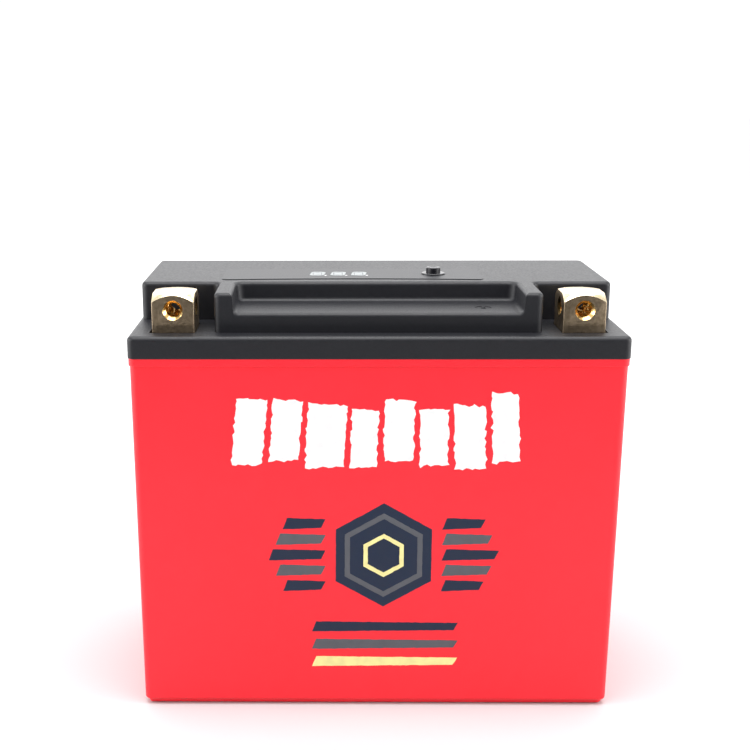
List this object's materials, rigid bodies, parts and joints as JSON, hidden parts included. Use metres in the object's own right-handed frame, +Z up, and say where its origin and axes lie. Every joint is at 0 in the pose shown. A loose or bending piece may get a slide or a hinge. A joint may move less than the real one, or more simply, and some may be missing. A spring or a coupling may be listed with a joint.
{
  "type": "motorcycle battery",
  "caption": "Lithium motorcycle battery with a red case, black lid, brass screw terminals in open corners, a hold-down shelf and a push-button charge indicator.",
  "frame": {"origin": "centre of the base, on the surface the battery stands on", "axes": "+X along the length towards the positive terminal, +Y from the terminal side to the back, +Z up"},
  "size_m": [0.175, 0.087, 0.1579],
  "materials": {
    "case_red": "satin moulded plastic",
    "lid_black": "fine matt moulded plastic",
    "seal_rubber": "matt",
    "terminal_brass": "turned and sawn brass",
    "screw_steel": "zinc plated",
    "strap_copper": "plain copper strip",
    "cell_aluminium": "plain",
    "cell_sleeve_blue": "shrink sleeve",
    "tray_white": "moulded",
    "divider_grey": "sheet",
    "foam_black": "closed-cell foam",
    "board_green": "solder mask",
    "chip_black": "moulded",
    "lead_red": "lead insulation",
    "lead_grey": "ribbon lead insulation",
    "overlay_black": "printed film",
    "window_white": "milky translucent",
    "switch_black": "polished"
  },
  "bodies": {
    "battery": {"back_foam": "foam_black", "balance_leads": "lead_red", "balance_socket": "tray_white", "bms_board": "board_green", "bms_capacitors": "cell_aluminium", "bms_controller": "chip_black", "bms_heat_spreader": "cell_aluminium", "bms_lug_nuts": "screw_steel", "bms_lug_screws": "screw_steel", "bms_screws": "screw_steel", "bms_standoffs": "screw_steel", "bms_transistors": "chip_black", "bottom_pad": "foam_black", "button_spring": "screw_steel", "case": "case_red", "cell_1": "cell_sleeve_blue", "cell_2": "cell_sleeve_blue", "cell_3": "cell_sleeve_blue", "cell_4": "cell_sleeve_blue", "cell_divider_1": "divider_grey", "cell_divider_2": "divider_grey", "cell_divider_3": "divider_grey", "cell_minus_strap": "strap_copper", "cell_poles_minus": "strap_copper", "cell_poles_plus": "cell_aluminium", "cell_tray": "tray_white", "cell_vent_discs": "cell_aluminium", "end_foam_left": "foam_black", "end_foam_right": "foam_black", "front_foam": "foam_black", "indicator_board": "board_green", "indicator_board_screws": "screw_steel", "indicator_lamps": "window_white", "indicator_lead": "lead_grey", "indicator_overlay": "overlay_black", "lid": "lid_black", "lid_seal": "seal_rubber", "light_pipe_left": "window_white", "light_pipe_middle": "window_white", "light_pipe_right": "window_white", "negative_strap": "strap_copper", "pole_screws": "screw_steel", "positive_strap": "strap_copper", "series_bars": "strap_copper", "switch_bushing": "switch_black", "switch_housing": "switch_black", "switch_nut": "screw_steel", "switch_pins": "screw_steel", "terminal_foot_screws": "screw_steel", "terminal_negative": "terminal_brass", "terminal_positive": "terminal_brass", "terminal_strap_screws": "screw_steel"},
    "push_button": {"push_button": "switch_black"}
  },
  "joints": [
    {"name": "button_press", "type": "slide", "parent": "battery", "child": "push_button", "axis": [0, 0, -1], "range_m": [0, 0.0012], "stiffness_N_per_m": 400, "springref_m": -0.0015, "deforming": ["button_spring"]}
  ]
}
